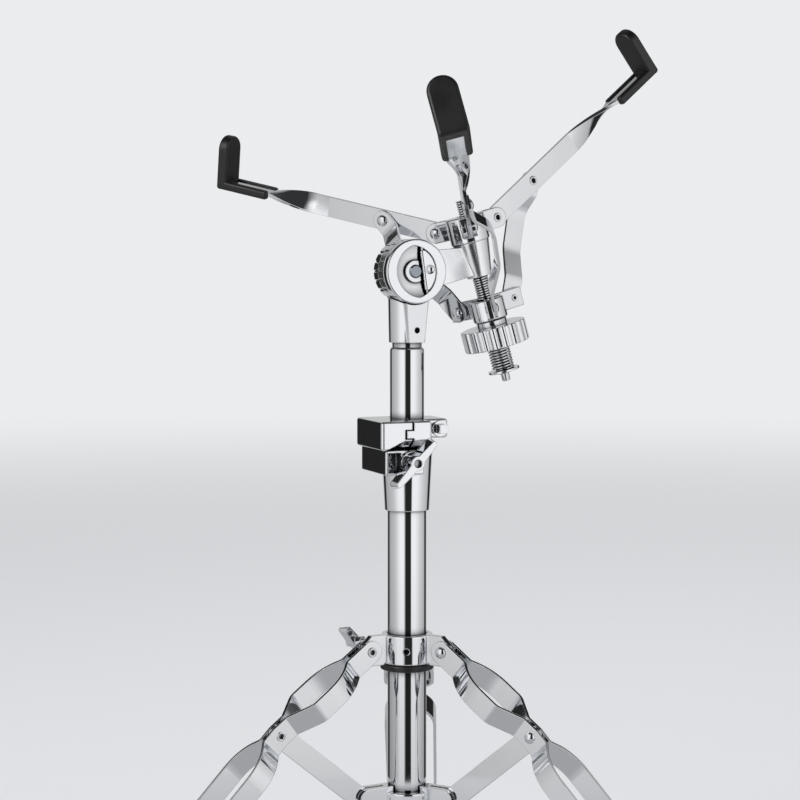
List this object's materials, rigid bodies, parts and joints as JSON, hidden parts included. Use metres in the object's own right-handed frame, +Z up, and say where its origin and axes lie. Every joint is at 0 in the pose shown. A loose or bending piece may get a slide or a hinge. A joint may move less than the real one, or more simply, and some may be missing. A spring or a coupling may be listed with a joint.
{
  "type": "snare drum stand",
  "caption": "Folding snare drum stand: tripod of bowed strip legs on a chromed two-tube column, toothed tilter and a basket of arms with rubber tips that grip a drum.",
  "frame": {"origin": "on the floor, under the axis of the tubes", "axes": "+Z up along the tubes; the tilter's face looks along -Y and the basket's rod stands to the +X side"},
  "size_m": [0.4635, 0.4721, 0.6356],
  "materials": {
    "chrome": "bright chrome plate on steel tube, strip and rivets",
    "cast_chrome": "bright chrome plate on die castings",
    "steel": "plain steel screws, bolt and spring wire",
    "rubber": "satin black moulded rubber",
    "black_nylon": "black nylon",
    "grey_nylon": "grey nylon bush"
  },
  "bodies": {
    "base": {"base_tube": "chrome", "tube_cap": "rubber", "lower_collar": "cast_chrome", "lower_rivets": "chrome", "clamp_body": "cast_chrome", "clamp_bush": "grey_nylon"},
    "collar": {"leg_collar": "cast_chrome", "collar_ring": "black_nylon", "collar_set_screw": "steel", "collar_rivets": "chrome"},
    "collar_wing": {"collar_wing_screw": "cast_chrome"},
    "column": {"upper_tube": "chrome", "lock_body": "cast_chrome", "lock_gate": "cast_chrome", "lock_screw": "steel", "tilter_neck": "cast_chrome", "neck_screw": "steel", "tilter_bolt": "steel"},
    "height_bolt": {"height_wing_bolt": "cast_chrome"},
    "head": {"tilter_arm": "cast_chrome", "basket_rod": "chrome", "top_hub": "cast_chrome", "hub_rivets": "chrome", "rod_washer": "chrome", "rod_clip": "steel", "rod_spring": "steel"},
    "handle": {"handle_cup": "cast_chrome"},
    "flap": {"handle_flap": "cast_chrome"},
    "slider": {"slider_hub": "cast_chrome", "slider_rivets": "chrome"},
    "knob": {"knob": "cast_chrome"},
    "leg_1": {"leg_1_left_bar": "chrome", "leg_1_right_bar": "chrome", "leg_1_foot": "rubber", "leg_1_rivets": "chrome"},
    "brace_1": {"brace_1": "chrome"},
    "arm_1": {"arm_1": "chrome", "tip_1": "rubber", "arm_1_rivet": "chrome"},
    "strut_1": {"strut_1": "chrome"},
    "leg_2": {"leg_2_left_bar": "chrome", "leg_2_right_bar": "chrome", "leg_2_foot": "rubber", "leg_2_rivets": "chrome"},
    "brace_2": {"brace_2": "chrome"},
    "arm_2": {"arm_2": "chrome", "tip_2": "rubber", "arm_2_rivet": "chrome"},
    "strut_2": {"strut_2": "chrome"},
    "leg_3": {"leg_3_left_bar": "chrome", "leg_3_right_bar": "chrome", "leg_3_foot": "rubber", "leg_3_rivets": "chrome"},
    "brace_3": {"brace_3": "chrome"},
    "arm_3": {"arm_3": "chrome", "tip_3": "rubber", "arm_3_rivet": "chrome"},
    "strut_3": {"strut_3": "chrome"}
  },
  "joints": [
    {"name": "leg_fold", "type": "hinge", "parent": "base", "child": "brace_1", "pos_m": [0.01103, 0.02574, 0.12654], "axis": [0.9191, -0.3939, 0], "range_deg": [0, 40]},
    {"name": "leg_1_turn", "type": "hinge", "parent": "brace_1", "child": "leg_1", "pos_m": [0.03633, 0.08477, 0.1799], "axis": [-0.9191, 0.3939, 0], "range_deg": [0, 83]},
    {"name": "collar_turn", "type": "hinge", "parent": "leg_1", "child": "collar", "pos_m": [0.01103, 0.02574, 0.2276], "axis": [0.9191, -0.3939, 0], "range_deg": [0, 43]},
    {"name": "brace_2_turn", "type": "hinge", "parent": "base", "child": "brace_2", "pos_m": [-0.0278, -0.00331, 0.12654], "axis": [-0.1184, 0.993, 0], "range_deg": [0, 40]},
    {"name": "leg_2_turn", "type": "hinge", "parent": "brace_2", "child": "leg_2", "pos_m": [-0.09158, -0.01092, 0.1799], "axis": [0.1184, -0.993, 0], "range_deg": [0, 83]},
    {"name": "brace_3_turn", "type": "hinge", "parent": "base", "child": "brace_3", "pos_m": [0.01677, -0.02242, 0.12654], "axis": [-0.8007, -0.599, 0], "range_deg": [0, 40]},
    {"name": "leg_3_turn", "type": "hinge", "parent": "brace_3", "child": "leg_3", "pos_m": [0.05525, -0.07385, 0.1799], "axis": [0.8007, 0.599, 0], "range_deg": [0, 83]},
    {"name": "collar_wing_turn", "type": "hinge", "parent": "collar", "child": "collar_wing", "pos_m": [-0.01318, 0.01762, 0.2276], "axis": [-0.599, 0.8007, 0], "continuous": true},
    {"name": "height", "type": "slide", "parent": "base", "child": "column", "axis": [0, 0, 1], "range_m": [0, 0.15]},
    {"name": "height_bolt_turn", "type": "hinge", "parent": "base", "child": "height_bolt", "pos_m": [-0.0062, -0.02, 0.3512], "axis": [0, -1, 0], "continuous": true},
    {"name": "tilt", "type": "hinge", "parent": "column", "child": "head", "pos_m": [0, -0.011, 0.4721], "axis": [0, -1, 0], "range_deg": [-25, 45]},
    {"name": "handle_turn", "type": "hinge", "parent": "column", "child": "handle", "pos_m": [0, -0.017, 0.4721], "axis": [0, -1, 0], "continuous": true},
    {"name": "flap_fold", "type": "hinge", "parent": "handle", "child": "flap", "pos_m": [0.00584, -0.0155, 0.47292], "axis": [0.1392, 0, -0.9903], "range_deg": [0, 80]},
    {"name": "slider_slide", "type": "slide", "parent": "head", "child": "slider", "axis": [-0.2621, 0.0314, 0.9645], "range_m": [-0.0034, 0.00849], "deforming": ["rod_spring"]},
    {"name": "arm_1_turn", "type": "hinge", "parent": "head", "child": "arm_1", "pos_m": [0.06295, 0.004, 0.5067], "axis": [0.1445, -0.9869, 0.0714], "range_deg": [-8.4, 20.4]},
    {"name": "strut_1_turn", "type": "hinge", "parent": "arm_1", "child": "strut_1", "pos_m": [0.09357, 0.01027, 0.53151], "axis": [0.1445, -0.9869, 0.0714], "range_deg": [-14.9, 6.2]},
    {"name": "arm_2_turn", "type": "hinge", "parent": "head", "child": "arm_2", "pos_m": [0.02887, 0.01752, 0.497], "axis": [0.7541, 0.6304, 0.1844], "range_deg": [-8.4, 20.4]},
    {"name": "strut_2_turn", "type": "hinge", "parent": "arm_2", "child": "strut_2", "pos_m": [0.00266, 0.04634, 0.50563], "axis": [0.7541, 0.6304, 0.1844], "range_deg": [-14.9, 6.2]},
    {"name": "arm_3_turn", "type": "hinge", "parent": "head", "child": "arm_3", "pos_m": [0.03435, -0.01991, 0.49971], "axis": [-0.8986, 0.3566, -0.2558], "range_deg": [-8.4, 20.4]},
    {"name": "strut_3_turn", "type": "hinge", "parent": "arm_3", "child": "strut_3", "pos_m": [0.01728, -0.0535, 0.51285], "axis": [-0.8986, 0.3566, -0.2558], "range_deg": [-14.9, 6.2]},
    {"name": "knob_turn", "type": "hinge", "parent": "slider", "child": "knob", "pos_m": [0.05959, -0.00157, 0.43661], "axis": [-0.2621, 0.0314, 0.9645], "continuous": true}
  ],
  "couplings": [
    {"joint": "leg_1_turn", "follows": "leg_fold", "ratio": 2.07},
    {"joint": "collar_turn", "follows": "leg_fold", "ratio": 1.07},
    {"joint": "brace_2_turn", "follows": "leg_fold", "ratio": 1},
    {"joint": "leg_2_turn", "follows": "leg_fold", "ratio": 2.07},
    {"joint": "brace_3_turn", "follows": "leg_fold", "ratio": 1},
    {"joint": "leg_3_turn", "follows": "leg_fold", "ratio": 2.07},
    {"joint": "arm_1_turn", "follows": "slider_slide", "rad_per_m": 41.096},
    {"joint": "strut_1_turn", "follows": "slider_slide", "rad_per_m": -29.753},
    {"joint": "arm_2_turn", "follows": "slider_slide", "rad_per_m": 41.096},
    {"joint": "strut_2_turn", "follows": "slider_slide", "rad_per_m": -29.753},
    {"joint": "arm_3_turn", "follows": "slider_slide", "rad_per_m": 41.096},
    {"joint": "strut_3_turn", "follows": "slider_slide", "rad_per_m": -29.753}
  ]
}
